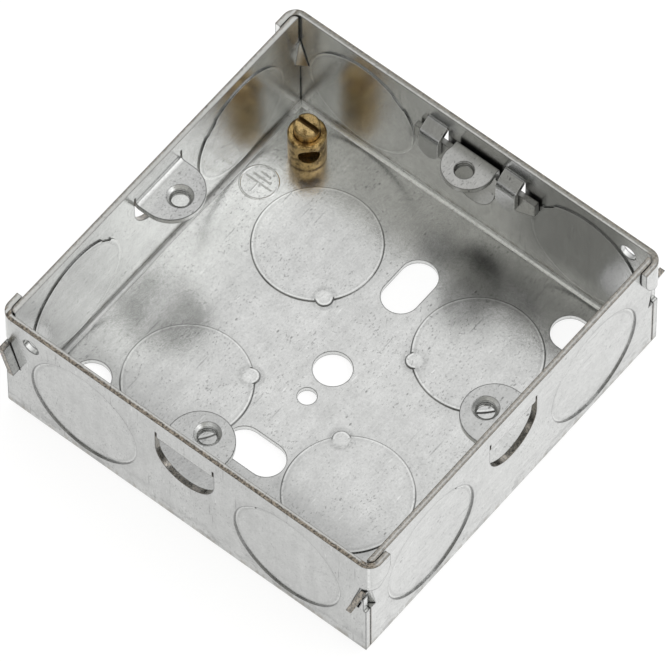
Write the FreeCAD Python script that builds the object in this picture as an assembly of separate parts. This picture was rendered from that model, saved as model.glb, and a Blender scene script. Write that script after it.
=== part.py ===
"""Flush back box for one wiring accessory, folded from galvanised sheet steel.

The origin is at the centre of the underside. +Z points out of the open mouth
and +X points at the wall that carries the adjustable lug. Sizes are in mm.
"""
import FreeCAD
import Part
import math
import os

Vector = FreeCAD.Vector
X_AXIS = Vector(1, 0, 0)
Y_AXIS = Vector(0, 1, 0)
Z_AXIS = Vector(0, 0, 1)

# Box shell
sheet = 1.0
outer_x = 71.5
outer_y = 71.0
height = 26.2
fold_inner_radius = 0.8

# Knockouts for 20 mm conduit, half sheared and pushed in by one step
knockout_diameter = 20.8
knockout_step = 0.25
knockout_nub_diameter = 2.8
knockout_nub_reach = 9.9
knockout_tie_width = 3.0
knockout_tie_depth = 0.45
base_knockout_pitch = 32.0
wall_knockout_pitch = 40.0
slider_wall_knockout_pitch = 44.2
wall_knockout_height = 13.2

# Fixing holes in the base
centre_hole_diameter = 6.3
small_hole_diameter = 3.1
small_hole_offset = 6.3
slot_width = 6.3
slot_length = 10.7
slot_offset = 19.0
corner_slot_length = 9.0
corner_slot_inset_x = 7.65
corner_slot_inset_y = 7.4
corner_slot_inner_end = 21.45

# Small holes near the rim of the two long walls
rim_hole_diameter = 3.0
rim_hole_inset = 5.2
rim_hole_depth = 3.8

# Fixed lugs for the M3.5 plate screws
lug_screw_pitch = 60.3
lug_screw_bore = 3.2
lug_depth = 4.9
lug_width = 10.9
lug_hole_to_tip = 3.7
lug_fold_inner_radius = 0.8
lug_window_depth = 13.0
lug_relief_width = 0.3
lug_relief_height = 1.1
lug_collar_diameter = 4.7
lug_collar_drop = 1.1
lug_flare = 0.55

# Adjustable lug that slides along the +X wall
slider_sheet = 1.0
slider_depth = 4.1
slider_wall_gap = 0.4
slider_fold_inner_radius = 0.3
slider_corner_radius = 0.45
slider_lug_width = 8.7
slider_root_width = 8.4
slider_hole_inset = 5.0
slider_hole_to_tip = 3.3
slider_collar_diameter = 4.5
slider_collar_drop = 0.7
slider_strip_length = 23.8
slider_shoulder_drop = 2.0
slider_end_depth = 3.0
slider_arm_depth = 4.9
slider_arm_offset = 8.5
slider_lobe_width = 8.0
slider_lobe_depth = 4.2
slider_lobe_lean = 0.8
slider_rest_offset = -1.3

# Tongues that hold the adjustable lug against the +X wall
tongue_width = 3.8
tongue_gap = 11.4
tongue_offset = -0.55
tongue_root_depth = 3.6
tongue_shoulder = 1.6
tongue_bend_radius = 1.6
tongue_length = 7.0
tongue_running_gap = 0.15
tongue_kerf = 0.15

# Corner joints
corner_gap = 0.15
wrap_outer_radius = 2.4
tab_reach = 4.5
tab_depth = 6.8
tab_shoulder_depth = 2.8
tab_gap = 0.15
wall_end_gap = 0.45
wall_end_radius = 0.8
clinch_top_depth = 7.0
clinch_height = 5.8
clinch_top_reach = 1.7
clinch_low_reach = 1.6
front_clinch_top_reach = 0.1
clinch_lean = 1.7
clinch_run = 1.3
clinch_kerf = 0.2

# Brass earth terminal
terminal_inset_x = 7.95
terminal_inset_y = 7.9
terminal_diameter = 6.2
terminal_height = 6.75
terminal_chamfer = 0.3
terminal_wire_diameter = 3.5
terminal_wire_height = 3.9
terminal_wire_angle = 45.0
terminal_bore_floor = 1.75
rivet_diameter = 4.2
rivet_clearance = 0.02
screw_diameter = 4.2
screw_length = 5.2
screw_proud = 2.4
screw_clearance = 0.05
screw_chamfer = 0.3
screw_slot_width = 0.9
screw_slot_depth = 1.1

# Worked-out places
half_x = outer_x / 2
half_y = outer_y / 2
fold_outer_radius = fold_inner_radius + sheet
lug_top = height - lug_depth
lug_fold_start = lug_top + lug_fold_inner_radius
lug_screw_place = lug_screw_pitch / 2
slider_top = height - slider_depth
slider_back = half_x - sheet - slider_wall_gap
slider_screw_place = half_x - slider_hole_inset
terminal_x = half_x - terminal_inset_x
terminal_y = half_y - terminal_inset_y
rim_hole_offset = half_y - rim_hole_inset
corner_slot_x = half_x - corner_slot_inset_x
corner_slot_y = half_y - corner_slot_inset_y
overcut = 1.0


def box(x_low, x_high, y_low, y_high, z_low, z_high):
    """An upright block between the given limits."""
    corner = Vector(x_low, y_low, z_low)
    return Part.makeBox(x_high - x_low, y_high - y_low, z_high - z_low, corner)


def cylinder(radius, length, place, direction=Z_AXIS):
    return Part.makeCylinder(radius, length, place, direction)


def polygon_prism(points, direction):
    """A prism from a closed outline of straight edges."""
    return Part.Face(Part.makePolygon(points + [points[0]])).extrude(direction)


def wire_prism(edges, direction):
    return Part.Face(Part.Wire(edges)).extrude(direction)


def line(start, end):
    return Part.makeLine(start, end)


def arc(start, middle, end):
    return Part.Arc(start, middle, end).toShape()


def turned(shape, degrees):
    """A copy turned about the vertical axis of the box."""
    copy = shape.copy()
    copy.rotate(Vector(0, 0, 0), Z_AXIS, degrees)
    return copy


def moved(shape, x, y, z):
    copy = shape.copy()
    copy.translate(Vector(x, y, z))
    return copy


def folded_strip(path, bend_radii, thickness, width):
    """A strip of sheet folded along a centreline in the YZ plane.

    The path holds (y, z) points, each bend radius is that of the centreline,
    and the strip is centred on the plane x = 0.
    """
    half = thickness / 2
    points = [Vector(-width / 2, y, z) for y, z in path]
    runs = [(b - a).normalize() for a, b in zip(points, points[1:])]
    sides = {}
    for side in (half, -half):
        normals = [X_AXIS.cross(run) for run in runs]
        edges = []
        start = points[0] + normals[0] * side
        for index, radius in enumerate(bend_radii):
            corner = points[index + 1]
            before = runs[index]
            after = runs[index + 1]
            turn = before.getAngle(after)
            left = X_AXIS.dot(before.cross(after)) > 0
            setback = radius * math.tan(turn / 2)
            tangent_in = corner - before * setback
            tangent_out = corner + after * setback
            inward = normals[index] * (radius if left else -radius)
            centre = tangent_in + inward
            bend = radius - side if left else radius + side
            first = tangent_in + normals[index] * side
            last = tangent_out + normals[index + 1] * side
            middle = centre + (corner - centre).normalize() * bend
            edges.append(line(start, first))
            edges.append(arc(first, middle, last))
            start = last
        end = points[-1] + normals[-1] * side
        edges.append(line(start, end))
        sides[side] = (edges, points[0] + normals[0] * side, end)
    caps = [line(sides[half][2], sides[-half][2]), line(sides[half][1], sides[-half][1])]
    outline = Part.__sortEdges__(sides[half][0] + sides[-half][0] + caps)
    return wire_prism(outline, Vector(width, 0, 0))


def rounded_tray():
    """The folded box before its cut-outs, with the four lower folds rounded."""
    def block(x_half, y_half, floor, radius):
        solid = box(-x_half, x_half, -y_half, y_half, floor, height + floor)
        lower = [e for e in solid.Edges if e.BoundBox.ZMax < floor + radius / 2]
        return solid.makeFillet(radius, lower)

    outside = block(half_x, half_y, 0, fold_outer_radius)
    inside = block(half_x - sheet, half_y - sheet, sheet, fold_inner_radius)
    limits = box(-half_x, half_x, -half_y, half_y, 0, height)
    return outside.common(limits).cut(inside)


def obround(length, width, x, y, angle):
    """A cutter for a slot with round ends, through the base."""
    straight = (length - width) / 2
    low = -overcut
    high = sheet + overcut
    ends = [cylinder(width / 2, high - low, Vector(s * straight, 0, low)) for s in (-1, 1)]
    body = box(-straight, straight, -width / 2, width / 2, low, high)
    return moved(turned(body.fuse(ends), angle), x, y, 0)


def base_holes():
    """Cutters for the fixing holes and slots in the base."""
    depth = sheet + 2 * overcut
    corner_place = corner_slot_inner_end + corner_slot_length / 2
    return [
        cylinder(centre_hole_diameter / 2, depth, Vector(0, 0, -overcut)),
        cylinder(small_hole_diameter / 2, depth, Vector(-small_hole_offset, 0, -overcut)),
        obround(slot_length, slot_width, slot_offset, 0, 0),
        obround(slot_length, slot_width, -slot_offset, 0, 90),
        obround(corner_slot_length, slot_width, -corner_place, corner_slot_y, 0),
        obround(corner_slot_length, slot_width, corner_slot_x, -corner_place, 90),
        rivet(rivet_clearance, overcut),
    ]


def knockout(angle, has_nub):
    """The recess and the raised disc of one knockout in the plane z = 0.

    The outer face of the sheet is at z = 0 and its inner face at z = sheet.
    At the given angle the disc is tied to the sheet. With a nub, the tie is
    hidden under a round pad on the inner face, and otherwise it is plain.
    """
    radius = knockout_diameter / 2
    half_tie = knockout_tie_width / 2
    top = sheet + knockout_step

    def disc(low, high):
        round_part = cylinder(radius, high - low, Vector(0, 0, low))
        tie = box(radius - knockout_tie_depth, radius + overcut, -half_tie, half_tie, low, high)
        return round_part.cut(tie)

    boss = disc(sheet / 2, top)
    if has_nub:
        place = Vector(knockout_nub_reach, 0, sheet / 2)
        boss = boss.fuse(cylinder(knockout_nub_diameter / 2, top - sheet / 2, place))
    return turned(disc(-overcut, knockout_step), angle), turned(boss, angle)


def base_knockouts():
    """The four knockouts of the base, each with its nub towards the centre."""
    pairs = []
    for x_side in (-1, 1):
        for y_side in (-1, 1):
            angle = math.degrees(math.atan2(-y_side, -x_side))
            x = x_side * base_knockout_pitch / 2
            y = y_side * base_knockout_pitch / 2
            pairs.append([moved(part, x, y, 0) for part in knockout(angle, True)])
    return pairs


def wall_knockouts(wall_half, pitch, turn):
    """Two knockouts in the wall that lies towards +X before the turn."""
    pairs = []
    for side in (-1, 1):
        shapes = []
        for part in knockout(135 if side > 0 else 45, False):
            upright = part.copy()
            upright.rotate(Vector(0, 0, 0), X_AXIS, 90)
            upright.rotate(Vector(0, 0, 0), Z_AXIS, -90)
            upright.translate(Vector(wall_half, -side * pitch / 2, wall_knockout_height))
            shapes.append(turned(upright, turn))
        pairs.append(shapes)
    return pairs


def screw_hole(collar_diameter, collar_drop, flare, thickness):
    """An extruded screw hole, as a collar to add and a bore to cut.

    The upper face of the sheet is at z = 0 and the collar hangs below it.
    """
    radius = lug_screw_bore / 2
    drop = thickness + collar_drop
    collar = cylinder(collar_diameter / 2, drop - thickness / 2, Vector(0, 0, -drop))
    lowest = -drop - overcut
    if flare == 0:
        return collar, cylinder(radius, overcut - lowest, Vector(0, 0, lowest))
    edges = [
        line(Vector(0, 0, overcut), Vector(radius + flare, 0, overcut)),
        line(Vector(radius + flare, 0, overcut), Vector(radius + flare, 0, 0)),
        line(Vector(radius + flare, 0, 0), Vector(radius, 0, -flare)),
        line(Vector(radius, 0, -flare), Vector(radius, 0, lowest)),
        line(Vector(radius, 0, lowest), Vector(0, 0, lowest)),
        line(Vector(0, 0, lowest), Vector(0, 0, overcut)),
    ]
    bore = Part.Face(Part.Wire(edges)).revolve(Vector(0, 0, 0), Z_AXIS, 360)
    return collar, bore


def lug_plan(width, root_width, round_centre, back, low, high):
    """A prism over the D-shaped plan of a lug that points towards -Y."""
    radius = width / 2
    round_part = cylinder(radius, high - low, Vector(0, round_centre, low))
    half_root = root_width / 2
    root = box(-half_root, half_root, round_centre, round_centre + width, low, high)
    return round_part.fuse(root).cut(box(-radius, radius, back, back + 2 * width, low, high))


def lug_window(wall_half):
    """A cutter for the D-shaped window that the folded lug leaves in the wall."""
    radius = lug_width / 2 + lug_relief_width
    low = height - lug_window_depth
    y = wall_half - sheet - overcut
    depth = Vector(0, sheet + 2 * overcut, 0)
    sides_end = low + radius
    edges = [
        line(Vector(-radius, y, lug_fold_start), Vector(-radius, y, sides_end)),
        arc(Vector(-radius, y, sides_end), Vector(0, y, low), Vector(radius, y, sides_end)),
        line(Vector(radius, y, sides_end), Vector(radius, y, lug_fold_start)),
        line(Vector(radius, y, lug_fold_start), Vector(-radius, y, lug_fold_start)),
    ]
    cutter = wire_prism(edges, depth)
    relief_top = lug_fold_start + lug_relief_height
    for side in (-1, 1):
        near = side * lug_width / 2
        far = side * radius
        limits = sorted((near, far))
        slit = box(limits[0], limits[1], y, y + depth.y, lug_fold_start - overcut, relief_top)
        cutter = cutter.fuse(slit)
    return cutter


def fixed_lug(wall_half):
    """A lug folded inwards from the +Y wall, with its extruded screw hole."""
    wall_middle = wall_half - sheet / 2
    tip = lug_screw_place - lug_hole_to_tip
    round_centre = tip + lug_width / 2
    level = lug_top - sheet / 2
    path = [(wall_middle, lug_fold_start + sheet), (wall_middle, level), (tip - overcut, level)]
    bend = lug_fold_inner_radius + sheet / 2
    strip = folded_strip(path, [bend], sheet, lug_width)
    plan = lug_plan(lug_width, lug_width, round_centre, wall_half, lug_top - 2 * sheet, height)
    collar, bore = screw_hole(lug_collar_diameter, lug_collar_drop, lug_flare, sheet)
    lug = strip.common(plan).fuse(moved(collar, 0, lug_screw_place, lug_top))
    return lug, moved(bore, 0, lug_screw_place, lug_top)


def rim_holes():
    """Cutters for the small hole near the rim of each ±X wall."""
    cutters = []
    radius = rim_hole_diameter / 2
    level = height - rim_hole_depth
    for side in (-1, 1):
        outward = Vector(side, 0, 0)
        inner = Vector(side * (half_x - sheet - overcut), -side * rim_hole_offset, level)
        cutters.append(cylinder(radius, sheet + 2 * overcut, inner, outward))
    return cutters


def tongue_windows():
    """Cutters for the openings that the two lanced tongues leave in the +X wall."""
    top = height - tongue_root_depth
    low = top - tongue_length - tongue_kerf
    x = half_x - sheet - overcut
    cutters = []
    for side in (-1, 1):
        near = tongue_offset + side * (tongue_gap / 2 - tongue_kerf)
        far = tongue_offset + side * (tongue_gap / 2 + tongue_width + tongue_kerf)
        limits = sorted((near, far))
        cutters.append(box(x, half_x + overcut, limits[0], limits[1], low, top))
    return cutters


def tongues():
    """Two tongues lanced from the +X wall and bent over the sliding strip."""
    wall_middle = half_x - sheet / 2
    held = slider_back - slider_sheet - tongue_running_gap - sheet / 2
    top = height - tongue_root_depth
    low = top - tongue_length
    path = [
        (wall_middle, top + sheet),
        (wall_middle, top),
        (held, top - tongue_shoulder),
        (held, low),
    ]
    bends = [tongue_bend_radius, tongue_bend_radius]
    strip = folded_strip(path, bends, sheet, tongue_width)
    radius = tongue_width / 2
    y_low = held - sheet
    depth = Vector(0, half_x - y_low, 0)
    round_start = low + radius
    edges = [
        line(Vector(-radius, y_low, height), Vector(-radius, y_low, round_start)),
        arc(Vector(-radius, y_low, round_start), Vector(0, y_low, low),
            Vector(radius, y_low, round_start)),
        line(Vector(radius, y_low, round_start), Vector(radius, y_low, height)),
        line(Vector(radius, y_low, height), Vector(-radius, y_low, height)),
    ]
    tongue = strip.common(wire_prism(edges, depth))
    place = (tongue_gap + tongue_width) / 2
    pair = [moved(turned(tongue, -90), 0, side * place, 0) for side in (-1, 1)]
    return [moved(each, 0, tongue_offset, 0) for each in pair]


def corner_clearance():
    """The space at the (+X, +Y) corner that the joint needs, above the seam."""
    tab_low = height - tab_depth - clinch_kerf
    wrap_start = half_y + tab_gap + sheet - wrap_outer_radius
    wall_end = half_x - sheet - wall_end_gap
    upper = box(wall_end, half_x + overcut, wrap_start, half_y + overcut, tab_low, height + overcut)
    seam = box(half_x - sheet - corner_gap, half_x - sheet, half_y - sheet - corner_gap,
               half_y + overcut, fold_outer_radius, tab_low)
    radius = wall_end_radius
    near_x = wall_end - radius
    near_y = half_y - radius
    rounding = box(near_x, wall_end + overcut, near_y, half_y + overcut, tab_low, height + overcut)
    round_end = cylinder(radius, height, Vector(near_x, near_y, tab_low))
    return [upper, seam, rounding.cut(round_end)]


def corner_wrap():
    """The end of the ±X wall, bent round the corner with a rounded tab."""
    outer = wrap_outer_radius
    inner = outer - sheet
    face = half_y + tab_gap + sheet
    cx = half_x - outer
    cy = face - outer
    low = height - tab_depth
    end = half_x - tab_reach
    slope = math.sqrt(0.5)
    edges = [
        line(Vector(half_x, cy, low), Vector(half_x - sheet, cy, low)),
        arc(Vector(half_x - sheet, cy, low), Vector(cx + inner * slope, cy + inner * slope, low),
            Vector(cx, face - sheet, low)),
        line(Vector(cx, face - sheet, low), Vector(end, face - sheet, low)),
        line(Vector(end, face - sheet, low), Vector(end, face, low)),
        line(Vector(end, face, low), Vector(cx, face, low)),
        arc(Vector(cx, face, low), Vector(cx + outer * slope, cy + outer * slope, low),
            Vector(half_x, cy, low)),
    ]
    wrap = wire_prism(edges, Vector(0, 0, tab_depth))
    across = half_x - end
    rise = tab_depth - tab_shoulder_depth
    y_low = cy - overcut
    side = [
        line(Vector(half_x, y_low, low), Vector(half_x, y_low, height)),
        line(Vector(half_x, y_low, height), Vector(end, y_low, height)),
        line(Vector(end, y_low, height), Vector(end, y_low, height - tab_shoulder_depth)),
        arc(Vector(end, y_low, height - tab_shoulder_depth),
            Vector(half_x - across * slope, y_low, low + rise * (1 - slope)),
            Vector(half_x, y_low, low)),
    ]
    return wrap.common(wire_prism(side, Vector(0, face - y_low + overcut, 0)))


def clinch_section(x, lean, low, high, grow):
    """The outline of the clinch tongue across the wall at one x place."""
    inner = half_y - sheet - grow
    outer = half_y + grow
    points = [
        Vector(x, outer - lean, low),
        Vector(x, outer, high),
        Vector(x, inner, high),
        Vector(x, inner - lean, low),
    ]
    return Part.makePolygon(points + [points[0]])


def corner_clinch(top_reach):
    """The end of the ±Y wall, leaned inwards and driven through the ±X wall.

    The top of its end stands out by the given reach.
    """
    high = height - clinch_top_depth - clinch_kerf
    low = high - clinch_height
    start = half_x - sheet - clinch_run
    through = half_x - sheet - corner_gap
    tip = half_x + max(top_reach, clinch_low_reach)
    face = half_y - sheet
    across = Vector(0, sheet, 0)
    flat = polygon_prism([
        Vector(start, face, low),
        Vector(start, face, high),
        Vector(through, face, high),
    ], across)
    ramp = polygon_prism([
        Vector(start, face, low),
        Vector(through, face, high),
        Vector(through, face - clinch_lean, low),
    ], across)
    section = clinch_section(through, clinch_lean, low, high, 0)
    run = Part.Face(section).extrude(Vector(tip - through, 0, 0))
    inner = face - clinch_lean - overcut
    beyond = polygon_prism([
        Vector(half_x + top_reach, inner, high),
        Vector(tip + overcut, inner, high),
        Vector(tip + overcut, inner, low),
        Vector(half_x + clinch_low_reach, inner, low),
    ], Vector(0, clinch_lean + sheet + 2 * overcut, 0))
    return flat.fuse([ramp, run]).cut(beyond)


def clinch_clearance():
    """Cutters for the clinch: the wall that it replaces and the slot it passes."""
    high = height - clinch_top_depth
    low = high - clinch_height - 2 * clinch_kerf
    start = half_x - sheet - clinch_run
    wall = box(start, half_x - sheet, half_y - sheet - overcut, half_y + overcut, low, high)
    near = clinch_section(half_x - sheet - corner_gap, clinch_lean, low, high, clinch_kerf)
    slot = Part.Face(near).extrude(Vector(corner_gap + sheet + overcut, 0, 0))
    edge = box(half_x - sheet - corner_gap, half_x + overcut, half_y - sheet / 2,
               half_y + overcut, low, high)
    return [wall, slot, edge]


def at_corner(shapes, x_side, y_side):
    """The given shapes of the (+X, +Y) corner, mirrored to another corner."""
    if x_side < 0:
        shapes = [shape.mirror(Vector(0, 0, 0), X_AXIS) for shape in shapes]
    if y_side < 0:
        shapes = [shape.mirror(Vector(0, 0, 0), Y_AXIS) for shape in shapes]
    return shapes


def rivet(growth, extra):
    """The swaged foot of the earth terminal, flush with the underside."""
    low = Vector(terminal_x, terminal_y, -extra)
    return cylinder(rivet_diameter / 2 + growth, sheet + 2 * extra, low)


def box_shell():
    """The whole folded sheet: base, four walls, fixed lugs, tongues and corners."""
    knockouts = base_knockouts()
    knockouts += wall_knockouts(half_x, slider_wall_knockout_pitch, 0)
    knockouts += wall_knockouts(half_y, wall_knockout_pitch, 90)
    knockouts += wall_knockouts(half_x, wall_knockout_pitch, 180)
    knockouts += wall_knockouts(half_y, wall_knockout_pitch, 270)
    cutters = base_holes() + rim_holes() + tongue_windows()
    added = tongues()
    late_cutters = []
    for x_side, y_side in ((1, 1), (1, -1), (-1, 1), (-1, -1)):
        at_front = x_side < 0 and y_side < 0
        top_reach = front_clinch_top_reach if at_front else clinch_top_reach
        cutters += at_corner(corner_clearance() + clinch_clearance(), x_side, y_side)
        added += at_corner([corner_wrap(), corner_clinch(top_reach)], x_side, y_side)
    for wall_half, turn in ((half_y, 0), (half_x, 90), (half_y, 180)):
        lug, bore = fixed_lug(wall_half)
        cutters.append(turned(lug_window(wall_half), turn))
        added.append(turned(lug, turn))
        late_cutters.append(turned(bore, turn))
    for recess, boss in knockouts:
        late_cutters.append(recess)
        added.append(boss)
    shell = rounded_tray().cut(cutters).fuse(added).cut(late_cutters)
    return shell.removeSplitter()


def slider_outline(low, high):
    """The outline of the sliding strip seen from inside the box, as a prism."""
    y = slider_back - slider_sheet - slider_lobe_lean - overcut
    depth = Vector(0, slider_back - y + overcut, 0)
    end = slider_strip_length / 2
    end_low = high - slider_end_depth
    arm_low = high - slider_arm_depth
    lobe = slider_lobe_width / 2
    edges = []
    for side in (-1, 1):
        points = [
            Vector(0, y, high),
            Vector(side * end, y, high),
            Vector(side * end, y, end_low),
            Vector(side * slider_arm_offset, y, arm_low),
            Vector(side * lobe, y, arm_low),
        ]
        edges += [line(a, b) for a, b in zip(points, points[1:])]
    edges.append(arc(Vector(-lobe, y, arm_low), Vector(0, y, low), Vector(lobe, y, arm_low)))
    return wire_prism(Part.__sortEdges__(edges), depth)


def slider_corner():
    """The sharp pressed corner where the strip turns into its lug."""
    inner = slider_fold_inner_radius
    half_root = slider_root_width / 2
    y_low = slider_back - slider_sheet - inner
    z_low = slider_top - slider_sheet - inner
    block = box(-half_root, half_root, y_low, slider_back, z_low, slider_top)
    ridge = [e for e in block.Edges
             if e.BoundBox.YMin > slider_back - inner and e.BoundBox.ZMin > slider_top - inner]
    hollow = cylinder(inner, slider_root_width, Vector(-half_root, y_low, z_low), X_AXIS)
    return block.makeFillet(slider_corner_radius, ridge).cut(hollow)


def adjustable_lug():
    """The separate lug: a strip behind the tongues with a D-shaped lug on top."""
    middle = slider_back - slider_sheet / 2
    level = slider_top - slider_sheet / 2
    shoulder = slider_top - slider_shoulder_drop
    lobe_top = shoulder - slider_arm_depth
    low = lobe_top - slider_lobe_depth
    tip = slider_screw_place - slider_hole_to_tip
    round_centre = tip + slider_lug_width / 2
    path = [
        (middle - slider_lobe_lean, low),
        (middle, lobe_top),
        (middle, level),
        (tip - overcut, level),
    ]
    top_bend = slider_fold_inner_radius + slider_sheet / 2
    sheet_form = folded_strip(path, [2 * slider_sheet, top_bend], slider_sheet, slider_strip_length)
    leg = sheet_form.common(slider_outline(low, shoulder))
    plan = lug_plan(slider_lug_width, slider_root_width, round_centre, slider_back,
                    shoulder, height)
    top = sheet_form.common(plan)
    collar, bore = screw_hole(slider_collar_diameter, slider_collar_drop, 0, slider_sheet)
    place = (0, slider_screw_place, slider_top)
    added = [top, slider_corner(), moved(collar, *place)]
    lug = leg.fuse(added).cut(moved(bore, *place)).removeSplitter()
    return moved(turned(lug, -90), 0, slider_rest_offset, 0)


def earth_terminal():
    """The brass pillar with its wire hole, screw bore and riveted foot."""
    foot = Vector(terminal_x, terminal_y, sheet)
    radius = terminal_diameter / 2
    pillar = cylinder(radius, terminal_height - terminal_chamfer, foot)
    rim = foot + Vector(0, 0, terminal_height - terminal_chamfer)
    pillar = pillar.fuse(Part.makeCone(radius, radius - terminal_chamfer, terminal_chamfer, rim))
    bore_radius = screw_diameter / 2 + screw_clearance
    bore = cylinder(bore_radius, terminal_height, foot + Vector(0, 0, terminal_bore_floor))
    angle = math.radians(terminal_wire_angle)
    along = Vector(math.cos(angle), math.sin(angle), 0)
    start = foot + Vector(0, 0, terminal_wire_height) - along * terminal_diameter
    wire_hole = cylinder(terminal_wire_diameter / 2, 2 * terminal_diameter, start, along)
    return pillar.fuse(rivet(0, 0)).cut([bore, wire_hole]).removeSplitter()


def terminal_screw():
    """The slotted clamping screw of the earth terminal."""
    top = sheet + terminal_height + screw_proud
    radius = screw_diameter / 2
    place = Vector(terminal_x, terminal_y, top - screw_length)
    body = cylinder(radius, screw_length - screw_chamfer, place)
    head = Part.makeCone(radius, radius - screw_chamfer, screw_chamfer,
                         Vector(terminal_x, terminal_y, top - screw_chamfer))
    half_slot = screw_slot_width / 2
    slot = box(terminal_x - half_slot, terminal_x + half_slot, terminal_y - screw_diameter,
               terminal_y + screw_diameter, top - screw_slot_depth, top + overcut)
    return body.fuse(head).cut(slot).removeSplitter()


def export(name, shape):
    """Write one piece, which has to be a single valid solid."""
    if len(shape.Solids) != 1 or not shape.isValid():
        raise ValueError(f"{name} is not one valid solid")
    shape.Solids[0].exportStep(os.path.join("parts", name + ".step"))


def main():
    os.makedirs("parts", exist_ok=True)
    export("box_shell", box_shell())
    export("adjustable_lug", adjustable_lug())
    export("earth_terminal", earth_terminal())
    export("terminal_screw", terminal_screw())


main()
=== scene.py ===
"""Looks of the flush back box: materials, earth sign, screw threads, floor, light and camera.

Lengths in the code are in millimetres unless a name says metres.
"""
import math

import bpy
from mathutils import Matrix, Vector


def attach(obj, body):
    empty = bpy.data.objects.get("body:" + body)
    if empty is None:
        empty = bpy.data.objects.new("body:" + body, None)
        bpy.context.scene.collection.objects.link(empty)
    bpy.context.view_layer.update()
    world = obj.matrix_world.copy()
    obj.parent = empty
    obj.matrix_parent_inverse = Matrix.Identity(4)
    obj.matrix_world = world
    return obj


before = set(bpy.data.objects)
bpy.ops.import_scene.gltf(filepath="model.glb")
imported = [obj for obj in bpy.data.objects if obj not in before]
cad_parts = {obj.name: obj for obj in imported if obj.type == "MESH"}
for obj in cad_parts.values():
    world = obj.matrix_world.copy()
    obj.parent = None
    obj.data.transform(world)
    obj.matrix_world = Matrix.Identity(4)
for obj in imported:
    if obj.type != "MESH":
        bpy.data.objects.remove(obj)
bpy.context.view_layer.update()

MM = 0.001

# Places taken from the solids
BASE_TOP = 1.0
HALF_X = 35.75
HALF_Y = 35.5
SHEET = 1.0
INNER_X = HALF_X - SHEET
INNER_Y = HALF_Y - SHEET
TAB_FACE = 36.65
HEIGHT = 26.2
SEAM_TOP = 13.0
TAB_BOTTOM = 20.0
FOLD_TOP = 3.6
KNOCKOUT_RADIUS = 10.4
BASE_KNOCKOUT = 16.0
NUB_RADIUS = 1.4
NUB_PLACE = 9.0
WALL_KNOCKOUT = 20.0
SLIDER_WALL_KNOCKOUT = 22.1
WALL_KNOCKOUT_Z = 13.2
TIE_START = 10.2
LUG_TOP = 21.3
LUG_PLACE = 30.15
LUG_BORE = 1.6
LUG_WINDOW_HALF = 8.5
SLIDER_TOP = 22.1
SLIDER_PLACE = (30.75, -1.3)
TONGUE_X = 31.5
TONGUE_BOTTOM = 14.0
TONGUE_REACH = 12.0
TERMINAL = (27.8, 27.6)

# The earth sign: its middle, bars as place and half length along the stem, and ridges
SIGN = (19.1, 30.25)
SIGN_RADIUS = 3.08
SIGN_BARS = ((-0.1, 2.5), (0.85, 1.7), (1.75, 0.95))
SIGN_STEM = (-2.0, -0.1)
SIGN_RING_WIDTH = 0.40
SIGN_BAR_WIDTH = 0.34
SIGN_RISE = 0.075
SIGN_SUNK = 0.005
RING_STEPS = 72
RIDGE_PROFILE = ((-0.5, 0.0), (-0.28, 0.75), (0.0, 1.0), (0.28, 0.75), (0.5, 0.0))

# Screw threads of the lugs, with their lower and upper ends below the lug's top
THREAD_PITCH = 0.6
THREAD_DEPTH = 0.2
THREAD_STEPS = 40
THREAD_SUNK = 0.01
THREAD_PROFILE = ((-0.42, 0.0), (-0.06, 1.0), (0.06, 1.0), (0.42, 0.0))
LUG_THREAD = (-2.1, -0.5)
SLIDER_THREAD = (-1.65, -0.05)

# Colours of the metals and of what lies on them
SHELL_TONE = (0.66, 0.665, 0.655, 1.0)
SHELL_ROUGHNESS = 0.15
LUG_TONE = (0.44, 0.44, 0.425, 1.0)
LUG_ROUGHNESS = 0.22
PILLAR_TONE = (0.74, 0.52, 0.22, 1.0)
PILLAR_STAIN = 0.80
SCREW_TONE = (0.72, 0.52, 0.24, 1.0)
SCREW_STAIN = 0.75
# brown for the brass's stains and for its painted shade in the crevices
BRASS_STAIN_AND_SHADE = (0.17, 0.105, 0.04, 1.0)
SMUDGE_TONE = (0.25, 0.225, 0.18, 1.0)
RIM_TONE = (0.42, 0.41, 0.38, 1.0)
FAR_RIM_TONE = (0.22, 0.215, 0.19, 1.0)
RUST_DARK = (0.03, 0.025, 0.018, 1.0)
RUST_PALE = (0.33, 0.28, 0.22, 1.0)
WHITE = (1.0, 1.0, 1.0, 1.0)

# A face counts as lying on a wall or level when its normal passes these limits
FACING = (0.6, 0.75)

# Roughness that the marks add, and that of the floor
GRAIN_ROUGHNESS = 0.08
CLOUD_ROUGHNESS = 0.06
FOLD_ROUGHNESS = 0.28
RIM_ROUGHNESS = 0.18
BRASS_ROUGHNESS = (0.15, 0.22)
BRASS_DARKENED_ROUGHNESS = 0.18
FLOOR_ROUGHNESS = 0.9

# Rounded edges, crevices and relief, each with its samples or its strength
SOFT_EDGE_METRES = 0.00018
SOFT_BRASS_METRES = 0.00015
SOFT_SAMPLES = 6
SHADED_EDGE_METRES = 0.00034
SHADED_EDGE_SAMPLES = 8
CREVICE_METRES = 0.002
CREVICE_SAMPLES = 8
SHEET_RELIEF = 0.30
SHEET_RELIEF_METRES = 0.00005
BRASS_RELIEF = 0.5
BRASS_RELIEF_METRES = 0.00002
TOOL_RINGS = 26.0

# Brightness that the sheet loses under each mark, as a share; below zero it gains
# Several of these marks are painted shade or painted highlights, as said where each is made
LOSS = {
    "dots": 0.36, "spots": 0.50, "scratches": 0.24, "bright_scratches": -0.16,
    "knockout_line": 0.72, "knockout_lip": -0.16, "knockout_ring": 0.12, "knockout_halo": 0.06,
    "nub": -0.10, "nub_smear": 0.26, "scuff": 0.30, "outside": 0.09, "outside_x": 0.07,
    "dark_patches": 0.50, "inner_x": 0.10, "inner_y": 0.20, "corner": -0.20, "tongues": 0.36,
    "outer_foot": 0.22, "outer_end": 0.13, "lug": 0.19, "base_shade": 0.31, "fold": 0.24,
}
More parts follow.
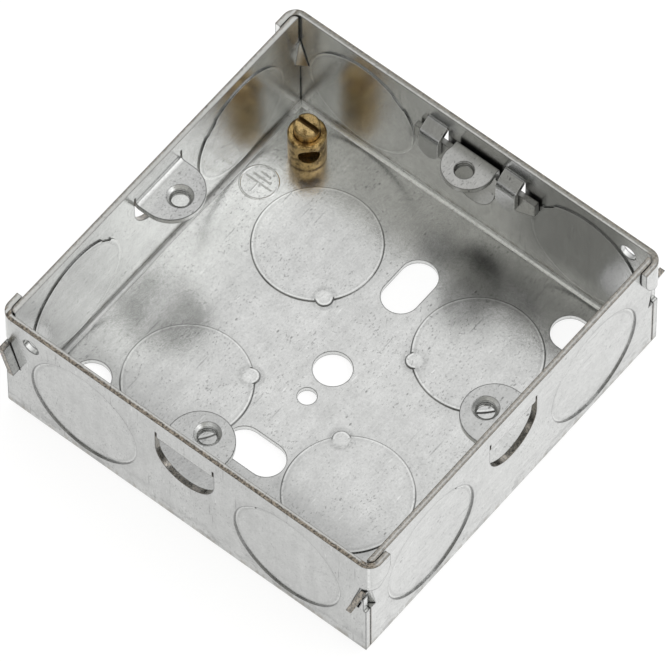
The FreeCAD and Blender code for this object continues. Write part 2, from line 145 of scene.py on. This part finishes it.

# How dark the painted shade on the edges is; below zero it is a painted highlight
EDGE_SHADE = 0.60
SHELL_EDGE_SHADE = 0.66
EDGE_HIGHLIGHT_AT_LINES = -0.45
EDGE_HIGHLIGHT_AT_TONGUES = -0.55
EDGE_SHADE_ADDED_AT_LUGS = 0.22
EDGE_SHADE_ON_SIGN = 0.22

# Shares of rust, dirt and grey on the cut edges and in the seams
SEAM_DIRT = 0.55
CUT_RUST = 0.75
SHEARED_RUST = 0.7
SMUDGE_SHARE = 0.75
RIM_SHARE = 0.35
FAR_RIM_SHARE = 0.75
RIM_RUST = 0.60
DARK_RIM_RUST = 0.92

# Light: a sky over the +X side that is brightest towards -Y, and a dim room opposite
SKY = 0.96
SKY_SLOPE = -0.90
SKY_EDGE = 0.22
LIT_ROOM = (0.30, 0.30, 0.30, 1.0)
DIM_ROOM = (0.66, 0.655, 0.62, 1.0)
HORIZON = (0.75, 0.75, 0.75, 1.0)
HORIZON_TOP = (0.15, 0.45)
FLOOR_TONE = 0.2
FLOOR_GLOW = 0.86
FLOOR_HALF_METRES = 3.0
FLOOR_LEVEL_METRES = -0.0001

# Camera
SENSOR_WIDTH = 36.0
LENS = 632.9
LENS_SHIFT = (0.0028, -0.0010)
NEAR_CLIP_METRES = 0.1
EYE_METRES = (-0.711, -0.583, 1.559)
EYE_DEGREES = (30.735, 0.227, -51.014)


class Shader:
    """A short way to write the node tree of a material or a world."""

    def __init__(self, owner):
        self.owner = owner
        owner.use_nodes = True
        self.tree = owner.node_tree
        self.tree.nodes.clear()

    def node(self, kind, inputs=None, **settings):
        made = self.tree.nodes.new(kind)
        for key, value in settings.items():
            setattr(made, key, value)
        for key, value in (inputs or {}).items():
            self.put(made.inputs[key], value)
        return made

    def put(self, socket, value):
        if isinstance(value, bpy.types.NodeSocket):
            self.tree.links.new(value, socket)
        else:
            socket.default_value = value

    def math(self, operation, a, b=0.0, c=0.0, clamp=False):
        made = self.node("ShaderNodeMath", {0: a, 1: b, 2: c}, operation=operation)
        made.use_clamp = clamp
        return made.outputs[0]

    def product(self, *values):
        result = values[0]
        for value in values[1:]:
            result = self.math("MULTIPLY", result, value)
        return result

    def scaled_plus(self, value, factor, added):
        """The value times the factor, plus what is added."""
        return self.math("MULTIPLY_ADD", value, factor, added)

    def minus(self, a, b):
        return self.math("SUBTRACT", a, b)

    def without(self, mask):
        """The mask turned round: 1 where it is 0."""
        return self.minus(1.0, mask)

    def larger(self, a, b):
        return self.math("MAXIMUM", a, b)

    def smaller(self, a, b):
        return self.math("MINIMUM", a, b)

    def size(self, value):
        return self.math("ABSOLUTE", value)

    def darken(self, value, mask, share):
        """The value, lowered by the given share where the mask is 1."""
        return self.product(value, self.scaled_plus(mask, -share, 1.0))

    def step(self, value, low, high, to_low=0.0, to_high=1.0):
        """A smooth step of the value from low to high."""
        made = self.node("ShaderNodeMapRange",
                         {0: value, 1: low, 2: high, 3: to_low, 4: to_high},
                         interpolation_type="SMOOTHSTEP")
        return made.outputs[0]

    def band(self, value, middle, half):
        """1 at the middle, falling to 0 at the given distance on both sides."""
        away = self.size(self.minus(value, middle))
        return self.step(away, half, half * 0.25)

    def mix(self, factor, a, b):
        made = self.node("ShaderNodeMix", data_type="RGBA")
        self.put(made.inputs[0], factor)
        self.put(made.inputs[6], a)
        self.put(made.inputs[7], b)
        return made.outputs[2]

    def mix_value(self, factor, a, b):
        made = self.node("ShaderNodeMix", data_type="FLOAT")
        self.put(made.inputs[0], factor)
        self.put(made.inputs[2], a)
        self.put(made.inputs[3], b)
        return made.outputs[0]

    def mix_vector(self, factor, a, b):
        made = self.node("ShaderNodeMix", data_type="VECTOR")
        self.put(made.inputs[0], factor)
        self.put(made.inputs[4], a)
        self.put(made.inputs[5], b)
        return made.outputs[1]

    def scaled(self, vector, scale, shift=(0.0, 0.0, 0.0)):
        made = self.node("ShaderNodeVectorMath", {0: vector, 1: scale, 2: shift},
                         operation="MULTIPLY_ADD")
        return made.outputs[0]

    def noise(self, vector, scale, detail=2.0, roughness=0.5):
        made = self.node("ShaderNodeTexNoise", {"Vector": vector, "Scale": scale,
                                                "Detail": detail, "Roughness": roughness})
        return made.outputs[0]

    def length(self, x, y):
        square = self.math("ADD", self.product(x, x), self.product(y, y))
        return self.math("SQRT", square)

    def split(self, vector):
        made = self.node("ShaderNodeSeparateXYZ", {0: vector})
        return made.outputs[0], made.outputs[1], made.outputs[2]

    def tinted(self, value, tone):
        """A grey value times a colour."""
        grey = self.node("ShaderNodeCombineColor", {0: value, 1: value, 2: value}).outputs[0]
        made = self.node("ShaderNodeMix", {0: 1.0}, data_type="RGBA", blend_type="MULTIPLY")
        self.put(made.inputs[6], grey)
        self.put(made.inputs[7], tone)
        return made.outputs[2]

    def facing(self):
        return self.node("ShaderNodeNewGeometry").outputs["True Normal"]

    def rounded(self, radius_metres, samples):
        """The normal with the edges rounded off."""
        made = self.node("ShaderNodeBevel", {"Radius": radius_metres}, samples=samples)
        return made.outputs[0]

    def crevice(self):
        """1 in the open, lower in narrow places."""
        made = self.node("ShaderNodeAmbientOcclusion", {"Distance": CREVICE_METRES},
                         samples=CREVICE_SAMPLES)
        return made.outputs["AO"]

    def metal(self, colour, rough, height, strength, rise_metres, normal):
        """Finish a metal with its relief and return the material."""
        bump = self.node("ShaderNodeBump", {"Strength": strength, "Distance": rise_metres,
                                            "Height": height, "Normal": normal})
        shader = self.node("ShaderNodeBsdfPrincipled", {
            "Base Color": colour, "Metallic": 1.0, "Roughness": rough,
            "Normal": bump.outputs[0]})
        return self.surface(shader.outputs[0])

    def surface(self, shader):
        self.node("ShaderNodeOutputMaterial", {"Surface": shader})
        return self.owner


class Place:
    """Where a shaded point is: its place in millimetres and the way its face looks."""

    def __init__(self, sh):
        coordinates = sh.node("ShaderNodeTexCoord")
        self.point = sh.scaled(coordinates.outputs["Object"], (1.0 / MM,) * 3)
        self.x, self.y, self.z = sh.split(self.point)
        self.ax = sh.size(self.x)
        self.ay = sh.size(self.y)
        nx, ny, self.nz = sh.split(sh.facing())
        self.nx = sh.size(nx)
        self.ny = sh.size(ny)
        self.on_x_wall = sh.step(self.nx, *FACING)
        self.on_y_wall = sh.step(self.ny, *FACING)
        self.on_wall = sh.larger(self.on_x_wall, self.on_y_wall)
        self.on_level = sh.step(self.nz, *FACING)


def rolled(sh, at, across, along, shift=0.0):
    """Coordinates stretched along the way the sheet was rolled."""
    along_x = sh.scaled(at.point, (along, across, across), (shift, shift, shift))
    along_z = sh.scaled(at.point, (across, across, along), (shift, shift, shift))
    return sh.mix_vector(at.on_x_wall, along_x, along_z)


def knockout_gap(sh, at):
    """How far a point lies outside the nearest knockout line, and where its tie and nub are."""
    from_disc = sh.length(sh.minus(at.ax, BASE_KNOCKOUT), sh.minus(at.ay, BASE_KNOCKOUT))
    from_nub = sh.length(sh.minus(at.ax, NUB_PLACE), sh.minus(at.ay, NUB_PLACE))
    nub = sh.minus(from_nub, NUB_RADIUS)
    base = sh.smaller(sh.minus(from_disc, KNOCKOUT_RADIUS), nub)
    up = sh.minus(at.z, WALL_KNOCKOUT_Z)
    across = sh.minus(at.ax, WALL_KNOCKOUT)
    on_y = sh.minus(sh.length(across, up), KNOCKOUT_RADIUS)
    pitch = sh.mix_value(sh.step(at.x, -1.0, 1.0), WALL_KNOCKOUT, SLIDER_WALL_KNOCKOUT)
    side = sh.minus(at.ay, pitch)
    on_x = sh.minus(sh.length(side, up), KNOCKOUT_RADIUS)
    gap = sh.mix_value(at.on_y_wall, sh.mix_value(at.on_x_wall, base, on_x), on_y)
    inward = sh.mix_value(at.on_y_wall, side, across)
    diagonal = sh.product(sh.math("ADD", inward, up), -math.sqrt(0.5))
    tie = sh.product(sh.step(diagonal, TIE_START, TIE_START + 0.1), at.on_wall)
    nub_area = sh.product(sh.step(nub, 0.1, -0.1), at.on_level)
    return gap, tie, nub, nub_area


def specks(sh, vector, scale, size, share):
    """Small round spots, on the given share of the cells."""
    cells = sh.node("ShaderNodeTexVoronoi", {"Vector": vector, "Scale": scale})
    chosen = sh.step(sh.split(cells.outputs["Color"])[0], 1.0 - share, 1.0 - share + 0.02)
    spot = sh.step(cells.outputs["Distance"], size, size * 0.45)
    return sh.product(chosen, spot)


class Sheet:
    """Galvanised sheet, built up mark by mark as a brightness and a share of painted edge shade.

    The two limits of each step are the places or noise levels between which a mark fades in.
    """

    def __init__(self, name, tone, roughness):
        self.sh = sh = Shader(bpy.data.materials.new(name))
        self.at = at = Place(sh)
        self.tone = tone
        self.roughness = roughness
        self.grain = sh.noise(rolled(sh, at, 3.2, 0.22), 1.0, 4.0, 0.7)
        self.fine = sh.noise(at.point, 2.6, 4.0, 0.72)
        self.mottle = sh.noise(at.point, 0.42, 5.0, 0.68)
        self.cloud = sh.noise(at.point, 0.10, 3.0, 0.55)
        self.soft_normal = sh.rounded(SOFT_EDGE_METRES, SOFT_SAMPLES)
        self.on_base = sh.product(at.on_level, sh.step(at.z, 3.0, 2.0))
        outer_x = sh.step(at.ax, HALF_X - 0.4, HALF_X - 0.3)
        outer_y = sh.step(at.ay, HALF_Y - 0.4, HALF_Y - 0.3)
        self.outside = sh.larger(sh.product(outer_x, at.on_x_wall),
                                 sh.product(outer_y, at.on_y_wall))
        self.inside = sh.product(at.on_wall, sh.without(self.outside))
        self.edge_shade_share = EDGE_SHADE
        self.dirt = 0.0
        self.value = self.plain_value()
        self.specks_and_scratches()

    def plain_value(self):
        """Grain, long streaks, clouds and a fine mottle."""
        sh = self.sh
        streak = sh.noise(rolled(sh, self.at, 0.6, 0.05, 7.3), 1.0, 2.0, 0.5)
        value = sh.scaled_plus(self.grain, 0.16, 0.92)
        value = sh.product(value, sh.step(streak, 0.3, 0.7, 0.97, 1.03))
        value = sh.product(value, sh.step(self.cloud, 0.3, 0.7, 0.96, 1.03))
        value = sh.product(value, sh.step(self.mottle, 0.32, 0.62, 0.95, 1.03))
        return sh.product(value, sh.scaled_plus(self.fine, 0.50, 0.75))

    def mark(self, name, *masks):
        """Change the brightness where all masks are 1, by the mark's share in LOSS."""
        self.value = self.sh.darken(self.value, self.sh.product(*masks), LOSS[name])

    def specks_and_scratches(self):
        sh, at = self.sh, self.at
        patchy = sh.step(sh.noise(at.point, 0.16, 2.0), 0.40, 0.62, 0.35, 1.0)
        pits = sh.noise(rolled(sh, at, 1.0, 0.6, 3.1), 3.3, 2.0, 0.55)
        self.mark("dots", sh.step(pits, 0.605, 0.665), patchy)
        self.mark("spots", specks(sh, rolled(sh, at, 1.0, 0.55, 2.9), 0.6, 0.13, 0.30))
        self.mark("scratches", specks(sh, rolled(sh, at, 2.2, 0.16, 5.1), 0.6, 0.22, 0.12))
        self.mark("bright_scratches",
                  specks(sh, rolled(sh, at, 1.6, 0.3, 9.7), 0.8, 0.20, 0.12))

    def knockouts(self):
        """Sheared lines round the discs as a painted shade line, open towards the outside, with
        a painted highlight on the lip inside, a darker ring inside that, a painted shade halo
        outside, and a smear at each nub.
        """
        sh, at = self.sh, self.at
        gap, tie, nub, nub_area = knockout_gap(sh, at)
        self.knockout_distance = sh.size(gap)
        free = sh.without(tie)
        part_way = sh.step(sh.noise(at.point, 0.12, 1.0), 0.38, 0.6, 0.35, 1.0)
        open_line = sh.scaled_plus(self.inside, -0.85, sh.scaled_plus(self.outside, -0.55, 1.0))
        # painted shade in the shear gap round each disc
        self.mark("knockout_line", sh.band(gap, 0.02, 0.17), free, part_way, open_line)
        # painted highlight on the lip of the disc step
        self.mark("knockout_lip", sh.band(gap, -0.28, 0.16), free)
        self.mark("knockout_ring", sh.band(gap, -0.62, 0.34), part_way)
        # painted shade in a soft halo outside the line
        self.mark("knockout_halo", sh.band(gap, 0.5, 0.6), part_way)
        self.mark("nub", nub_area)
        self.mark("nub_smear", sh.band(nub, 0.25, 0.75), sh.step(self.fine, 0.42, 0.56),
                  self.on_base)

    def outer_faces(self):
        """Scuffs low down, painted shade on the outer faces, more on the X faces, at the foot
        and at the -X end, and dirt in the seams where the walls meet.
        """
        sh, at = self.sh, self.at
        scuff = sh.noise(sh.scaled(at.point, (0.35, 0.35, 0.7), (1.3, 4.2, 0.0)), 1.0, 4.0, 0.62)
        self.mark("scuff", self.outside, sh.step(at.z, 7.5, 0.6), sh.step(scuff, 0.47, 0.60))
        # painted shade: the outer faces darker, the X faces more, and more again at the foot and
        # at the -X end
        self.mark("outside", self.outside)
        self.mark("outside_x", self.outside, at.on_x_wall)
        self.mark("outer_foot", self.outside, sh.step(at.z, 2.2, 0.4))
        self.mark("outer_end", self.outside, sh.step(at.x, -HALF_X + 1.0, -HALF_X))
        seam = sh.product(sh.band(at.ax, INNER_X - 0.1, 0.42), at.on_y_wall, self.outside,
                          sh.step(at.z, SEAM_TOP, SEAM_TOP - 0.5))
        self.dirt = sh.product(seam, SEAM_DIRT)

    def inner_faces(self):
        """Painted shade in patches on the inner +X wall, in bands on the inner +X and +Y walls
        and on the base towards the -X wall, and a painted brighter corner where the walls meet.
        """
        sh, at = self.sh, self.at
        inner_x = sh.product(at.on_x_wall, sh.step(at.x, INNER_X - 0.5, INNER_X - 0.3),
                             sh.step(at.x, HALF_X - 0.3, HALF_X - 0.5))
        # painted shade in uneven patches on the inner +X wall
        self.mark("dark_patches", inner_x, sh.step(at.y, -4.0, -14.0), sh.step(at.y, -33.0, -27.0),
                  sh.step(self.mottle, 0.25, 0.55, 0.8, 1.0), sh.step(at.z, 3.0, 9.0, 0.4, 1.0))
        # painted shade on the inner +X wall
        self.mark("inner_x", inner_x, sh.step(at.y, 16.0, 8.0))
        inner_y = sh.product(at.on_y_wall, sh.step(at.y, INNER_Y - 0.5, INNER_Y - 0.3),
                             sh.step(at.y, HALF_Y - 0.3, HALF_Y - 0.5))
        # painted shade on the inner +Y wall
        self.mark("inner_y", inner_y, sh.step(at.x, -6.0, -18.0))
        # painted light: the walls brighter at the +X +Y corner
        self.mark("corner", sh.step(at.x, 20.0, 27.0), sh.step(at.y, 20.0, 27.0), at.on_wall)
        # painted shade on the base towards the -X wall
        self.mark("base_shade", sh.step(at.x, -15.0, -25.0), sh.step(at.x, -31.5, -29.0),
                  self.on_base)

    def tongues_and_lugs(self):
        """Greyer tongues and lug tops, and how much painted shade their edges and the discs'
        get, turned into a painted highlight at the tongues and beside the knockout lines.
        """
        sh, at = self.sh, self.at
        tongues = sh.product(sh.step(at.x, TONGUE_X - 0.5, TONGUE_X),
                             sh.step(at.x, INNER_X - 0.05, INNER_X - 0.25),
                             sh.step(at.z, TONGUE_BOTTOM - 1.0, TONGUE_BOTTOM),
                             sh.step(at.ay, TONGUE_REACH + 1.0, TONGUE_REACH))
        self.mark("tongues", tongues)
        lug = sh.product(at.on_level, sh.step(at.z, 20.0, 20.5),
                         sh.step(at.z, HEIGHT - 0.1, HEIGHT - 0.4))
        self.mark("lug", lug)
        away = sh.step(self.knockout_distance, 0.5, 0.9, 0.25, 1.0)
        near_line = sh.product(sh.step(self.knockout_distance, 0.9, 0.5), self.inside)
        edge_share = sh.product(away, SHELL_EDGE_SHADE)
        edge_share = sh.mix_value(near_line, edge_share, EDGE_HIGHLIGHT_AT_LINES)
        edge_share = sh.mix_value(tongues, edge_share, EDGE_HIGHLIGHT_AT_TONGUES)
        self.edge_shade_share = sh.scaled_plus(lug, EDGE_SHADE_ADDED_AT_LUGS, edge_share)

    def painted_edge_shade(self, on_sign):
        """Painted shade on the edges, less on the earth sign, and a painted highlight where the
        share is below zero.
        """
        sh = self.sh
        edge_share = sh.mix_value(on_sign, self.edge_shade_share, EDGE_SHADE_ON_SIGN)
        wide_normal = sh.rounded(SHADED_EDGE_METRES, SHADED_EDGE_SAMPLES)
        bend = sh.node("ShaderNodeVectorMath", {0: wide_normal, 1: sh.facing()},
                       operation="DOT_PRODUCT")
        edge = sh.step(bend.outputs["Value"], 0.995, 0.93)
        painted_edge = sh.product(edge, sh.step(self.fine, 0.30, 0.55, 0.5, 1.0), edge_share)
        self.value = sh.product(self.value, sh.without(painted_edge))

    def sign_area(self):
        """1 on the ridges of the earth sign."""
        sh, at = self.sh, self.at
        away = sh.length(sh.minus(at.x, SIGN[0]), sh.minus(at.y, SIGN[1]))
        return sh.product(sh.step(away, SIGN_RADIUS + 0.35, SIGN_RADIUS + 0.28),
                          sh.step(at.z, BASE_TOP + 0.12, BASE_TOP + 0.1))

    def fold_area(self, on_sign):
        """1 on the curved folds at the foot of the walls."""
        sh, at = self.sh, self.at
        return sh.product(sh.step(at.nz, 0.999, 0.98), sh.step(at.nz, 0.03, 0.12),
                          sh.step(at.z, FOLD_TOP, FOLD_TOP - 0.4),
                          sh.step(at.z, BASE_TOP, BASE_TOP + 0.01), sh.without(on_sign))

    def smudges(self):
        """Brown streaks at the foot of the walls."""
        sh, at = self.sh, self.at
        foot = sh.larger(sh.step(at.ax, HALF_X - 2.3, HALF_X - 1.9),
                         sh.step(at.ay, HALF_Y - 2.3, HALF_Y - 1.9))
        streaks = sh.noise(sh.scaled(at.point, (0.9, 0.9, 0.16), (2.6, 0.4, 0.0)),
                           1.0, 4.0, 0.66)
        return sh.product(foot, sh.step(at.nz, 0.2, 0.05), sh.step(at.z, 3.2, 1.0),
                          sh.step(streaks, 0.44, 0.58))

    def cut_edges(self):
        """Rust on the cut edges of the corner tabs and of the lug windows."""
        sh, at = self.sh, self.at
        tab = sh.product(sh.step(at.ax, HALF_X + 0.02, HALF_X + 0.08),
                         sh.step(at.z, TAB_BOTTOM, TAB_BOTTOM - 0.5))
        tab = sh.product(tab, sh.larger(at.on_x_wall, at.on_level), CUT_RUST)
        in_x_wall = sh.product(sh.step(at.ax, HALF_X - 0.97, HALF_X - 0.9),
                               sh.step(at.nx, 0.6, 0.4),
                               sh.step(at.ay, LUG_WINDOW_HALF + 0.2, LUG_WINDOW_HALF))
        in_y_wall = sh.product(sh.step(at.ay, HALF_Y - 0.97, HALF_Y - 0.9),
                               sh.step(at.ny, 0.6, 0.4),
                               sh.step(at.ax, LUG_WINDOW_HALF + 0.2, LUG_WINDOW_HALF))
        sheared = sh.product(sh.larger(in_x_wall, in_y_wall),
                             sh.step(at.z, FOLD_TOP, FOLD_TOP + 0.2),
                             sh.step(at.z, HEIGHT - 0.2, HEIGHT - 0.3), SHEARED_RUST)
        return sh.larger(tab, sheared)

    def rim_area(self):
        """1 on the cut upper edges of the walls, and the distance in from their outer face."""
        sh, at = self.sh, self.at
        rim = sh.product(sh.step(at.z, HEIGHT - 0.08, HEIGHT - 0.02), at.on_level)
        face = sh.mix_value(sh.step(at.ay, HALF_Y, HALF_Y + 0.1), HALF_Y, TAB_FACE)
        depth = sh.smaller(sh.minus(HALF_X, at.ax), sh.minus(face, at.ay))
        ragged = sh.scaled_plus(sh.noise(at.point, 2.3, 3.0, 0.7), 0.5, -0.25)
        return rim, sh.math("ADD", depth, ragged)

    def rim_and_rust(self, colour):
        """The colour with grey and rusty rims, cut edges, smudges and seams, and the rim."""
        sh, at = self.sh, self.at
        rim, depth = self.rim_area()
        dark_side = sh.step(at.x, -33.5, -34.6)
        far_side = sh.step(at.x, 33.5, 34.6)
        near_side = sh.step(at.y, -33.5, -34.3)
        dark = sh.mix_value(dark_side, sh.band(depth, 0.12, 0.35), sh.step(depth, 0.72, 0.5))
        dark = sh.larger(dark, sh.product(near_side, sh.band(depth, 0.85, 0.45)))
        grey = sh.product(far_side, sh.step(depth, 0.75, 0.6))
        colour = sh.mix(sh.product(rim, RIM_SHARE), colour, RIM_TONE)
        colour = sh.mix(sh.product(rim, grey, FAR_RIM_SHARE), colour, FAR_RIM_TONE)
        colour = sh.mix(sh.product(self.smudges(), SMUDGE_SHARE), colour, SMUDGE_TONE)
        rusty = sh.product(rim, dark, sh.mix_value(dark_side, RIM_RUST, DARK_RIM_RUST))
        rusty = sh.larger(sh.larger(rusty, self.cut_edges()), self.dirt)
        rust = sh.mix(sh.step(self.fine, 0.38, 0.62), RUST_DARK, RUST_PALE)
        return sh.mix(rusty, colour, rust), rim

    def material(self, is_shell):
        sh, at = self.sh, self.at
        on_sign = self.sign_area()
        # painted shade on the edges, painted highlights where the share is below zero
        self.painted_edge_shade(on_sign)
        fold = self.fold_area(on_sign)
        # painted shade in the folds at the foot of the walls, turning into a painted highlight
        # on the fold of the +X wall
        self.mark("fold", fold, sh.step(at.x, 31.0, 33.0, 1.0, -1.5))
        # painted shade in crevices and narrow places
        self.value = sh.product(self.value, sh.step(sh.crevice(), 0.10, 0.70, 0.45, 1.0))
        colour = sh.tinted(self.value, self.tone)
        rough = sh.scaled_plus(self.grain, GRAIN_ROUGHNESS, self.roughness)
        rough = sh.scaled_plus(self.cloud, CLOUD_ROUGHNESS, rough)
        rough = sh.scaled_plus(fold, FOLD_ROUGHNESS, rough)
        if is_shell:
            colour, rim = self.rim_and_rust(colour)
            rough = sh.scaled_plus(rim, RIM_ROUGHNESS, rough)
        relief = sh.scaled_plus(self.grain, 0.35, sh.product(self.fine, 0.5))
        relief = sh.scaled_plus(self.mottle, 1.6, relief)
        relief = sh.scaled_plus(self.cloud, 3.0, relief)
        return sh.metal(colour, rough, relief, SHEET_RELIEF, SHEET_RELIEF_METRES,
                        self.soft_normal)


def steel(name, tone, roughness, is_shell):
    """Galvanised sheet with the marks of the shell, or plain for the lug."""
    sheet = Sheet(name, tone, roughness)
    if is_shell:
        sheet.knockouts()
        sheet.outer_faces()
        sheet.inner_faces()
        sheet.tongues_and_lugs()
    return sheet.material(is_shell)


def brass(name, tone, dark_patches):
    """Turned brass: tool rings, brown stains, and painted shade in its crevices low down."""
    sh = Shader(bpy.data.materials.new(name))
    at = Place(sh)
    radius = sh.length(sh.minus(at.x, TERMINAL[0]), sh.minus(at.y, TERMINAL[1]))
    rings = sh.math("SINE", sh.product(sh.mix_value(at.on_level, at.z, radius), TOOL_RINGS))
    cloud = sh.noise(at.point, 0.8, 4.0, 0.6)
    fine = sh.noise(at.point, 5.0, 3.0, 0.6)
    amount = sh.product(sh.step(cloud, 0.42, 0.66), dark_patches)
    amount = sh.math("ADD", amount, sh.product(sh.step(fine, 0.45, 0.65), 0.5))
    # painted shade in the crevices, in the same brown as the stains
    low = sh.step(sh.crevice(), 0.8, 0.25, 0.0, 0.85)
    amount = sh.math("ADD", amount, low, clamp=True)
    colour = sh.mix(amount, tone, BRASS_STAIN_AND_SHADE)
    rough = sh.scaled_plus(fine, *BRASS_ROUGHNESS)
    rough = sh.math("ADD", rough, sh.product(amount, BRASS_DARKENED_ROUGHNESS))
    relief = sh.scaled_plus(rings, 0.25, fine)
    return sh.metal(colour, rough, relief, BRASS_RELIEF, BRASS_RELIEF_METRES,
                    sh.rounded(SOFT_BRASS_METRES, SOFT_SAMPLES))


def paper(name):
    """The pale floor, lit from below like a light table."""
    sh = Shader(bpy.data.materials.new(name))
    at = Place(sh)
    tone = sh.scaled_plus(sh.noise(at.point, 0.02, 2.0), 0.01, FLOOR_TONE)
    shader = sh.node("ShaderNodeBsdfPrincipled", {
        "Base Color": sh.tinted(tone, WHITE), "Roughness": FLOOR_ROUGHNESS,
        "Emission Color": WHITE, "Emission Strength": FLOOR_GLOW})
    return sh.surface(shader.outputs[0])


def new_mesh(name, vertices, faces, material, body):
    """A smooth piece of the object from points in millimetres."""
    mesh = bpy.data.meshes.new(name)
    mesh.from_pydata([Vector(v) * MM for v in vertices], [], faces)
    mesh.materials.append(material)
    for polygon in mesh.polygons:
        polygon.use_smooth = True
    piece = bpy.data.objects.new(name, mesh)
    bpy.context.scene.collection.objects.link(piece)
    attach(piece, body)


def ridge(path, closed, width, rise, level):
    """A low rounded ridge along a flat path, as vertices and faces."""
    count = len(path)
    vertices = []
    for i, (x, y) in enumerate(path):
        if closed:
            before, after = path[i - 1], path[(i + 1) % count]
        else:
            before, after = path[max(i - 1, 0)], path[min(i + 1, count - 1)]
        tangent = (Vector(after) - Vector(before)).normalized()
        for across, up in RIDGE_PROFILE:
            vertices.append((x - tangent.y * across * width, y + tangent.x * across * width,
                             level + up * rise))
    faces = []
    columns = len(RIDGE_PROFILE)
    for i in range(count if closed else count - 1):
        j = (i + 1) % count
        for k in range(columns - 1):
            faces.append((i * columns + k, j * columns + k, j * columns + k + 1,
                          i * columns + k + 1))
    return vertices, faces


def earth_symbol(material):
    """The earth sign in its circle, beside the terminal."""
    x, y = SIGN
    angles = (2 * math.pi * i / RING_STEPS for i in range(RING_STEPS))
    ring = [(x + SIGN_RADIUS * math.cos(t), y + SIGN_RADIUS * math.sin(t)) for t in angles]
    parts = [(ring, True, SIGN_RING_WIDTH)]
    for place, half in SIGN_BARS:
        parts.append(([(x + place, y - half), (x + place, y + half)], False, SIGN_BAR_WIDTH))
    parts.append(([(x + end, y) for end in SIGN_STEM], False, SIGN_BAR_WIDTH))
    vertices = []
    faces = []
    for path, closed, width in parts:
        added, quads = ridge(path, closed, width, SIGN_RISE, BASE_TOP - SIGN_SUNK)
        start = len(vertices)
        vertices += added
        faces += [tuple(start + v for v in quad) for quad in quads]
    new_mesh("earth_symbol", vertices, faces, material, "box")


def thread(name, centre, low, high, material, body):
    """An inner screw thread as a helical ridge on the wall of a lug's bore."""
    turns = (high - low) / THREAD_PITCH
    steps = int(turns * THREAD_STEPS)
    vertices = []
    for i in range(steps + 1):
        share = i / steps
        angle = 2 * math.pi * turns * share
        level = low + (high - low) * share
        fade = min(1.0, 6 * share, 6 * (1 - share))
        for up, out in THREAD_PROFILE:
            reach = LUG_BORE - (THREAD_DEPTH * out * fade - THREAD_SUNK)
            z = min(max(level + up * THREAD_PITCH, low), high)
            vertices.append((centre[0] + reach * math.cos(angle),
                             centre[1] + reach * math.sin(angle), z))
    columns = len(THREAD_PROFILE)
    faces = []
    for i in range(steps):
        for k in range(columns - 1):
            faces.append((i * columns + k, (i + 1) * columns + k, (i + 1) * columns + k + 1,
                          i * columns + k + 1))
    new_mesh(name, vertices, faces, material, body)


def threads(steel_material, lug_material):
    """Threads of the four lugs."""
    places = {"lug_thread_plus_y": (0.0, LUG_PLACE), "lug_thread_minus_y": (0.0, -LUG_PLACE),
              "lug_thread_minus_x": (-LUG_PLACE, 0.0)}
    for name, centre in places.items():
        thread(name, centre, LUG_TOP + LUG_THREAD[0], LUG_TOP + LUG_THREAD[1],
               steel_material, "box")
    thread("lug_thread_adjustable", SLIDER_PLACE, SLIDER_TOP + SLIDER_THREAD[0],
           SLIDER_TOP + SLIDER_THREAD[1], lug_material, "slider")


def floor(material):
    mesh = bpy.data.meshes.new("floor")
    half = FLOOR_HALF_METRES
    corners = [(-half, -half, FLOOR_LEVEL_METRES), (half, -half, FLOOR_LEVEL_METRES),
               (half, half, FLOOR_LEVEL_METRES), (-half, half, FLOOR_LEVEL_METRES)]
    mesh.from_pydata(corners, [], [(0, 1, 2, 3)])
    mesh.materials.append(material)
    plane = bpy.data.objects.new("floor", mesh)
    bpy.context.scene.collection.objects.link(plane)


def studio():
    """One very large soft light over the +X side, brightest towards -Y, and a dim room."""
    sh = Shader(bpy.data.worlds.new("studio"))
    direction = sh.node("ShaderNodeTexCoord").outputs["Generated"]
    x, y, z = sh.split(direction)
    side = sh.step(x, -SKY_EDGE, SKY_EDGE)
    sky = sh.product(side, sh.scaled_plus(y, SKY_SLOPE, SKY))
    above = sh.node("ShaderNodeMix", {0: 1.0}, data_type="RGBA", blend_type="ADD")
    sh.put(above.inputs[6], sh.mix(side, DIM_ROOM, LIT_ROOM))
    sh.put(above.inputs[7], sh.tinted(sky, WHITE))
    room = sh.mix(sh.step(z, *HORIZON_TOP), HORIZON, above.outputs[2])
    back = sh.node("ShaderNodeBackground", {"Color": room, "Strength": 1.0})
    sh.node("ShaderNodeOutputWorld", {"Surface": back.outputs[0]})
    bpy.context.scene.world = sh.owner
    view = bpy.context.scene.view_settings
    view.view_transform = "Standard"
    view.look = "None"


def camera():
    data = bpy.data.cameras.new("camera")
    data.sensor_width = SENSOR_WIDTH
    data.lens = LENS
    data.shift_x, data.shift_y = LENS_SHIFT
    data.clip_start = NEAR_CLIP_METRES
    eye = bpy.data.objects.new("camera", data)
    eye.location = EYE_METRES
    eye.rotation_euler = [math.radians(a) for a in EYE_DEGREES]
    bpy.context.scene.collection.objects.link(eye)
    bpy.context.scene.camera = eye


def dress(node, material):
    """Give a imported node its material."""
    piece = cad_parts[node]
    for slot in piece.material_slots:
        slot.material = material


def main():
    shell = steel("galvanised_sheet", SHELL_TONE, SHELL_ROUGHNESS, True)
    lug = steel("plated_sheet", LUG_TONE, LUG_ROUGHNESS, False)
    dress("box_shell", shell)
    dress("adjustable_lug", lug)
    dress("earth_terminal", brass("terminal_brass", PILLAR_TONE, PILLAR_STAIN))
    dress("terminal_screw", brass("screw_brass", SCREW_TONE, SCREW_STAIN))
    earth_symbol(shell)
    threads(shell, lug)
    floor(paper("floor_paper"))
    studio()
    camera()


main()
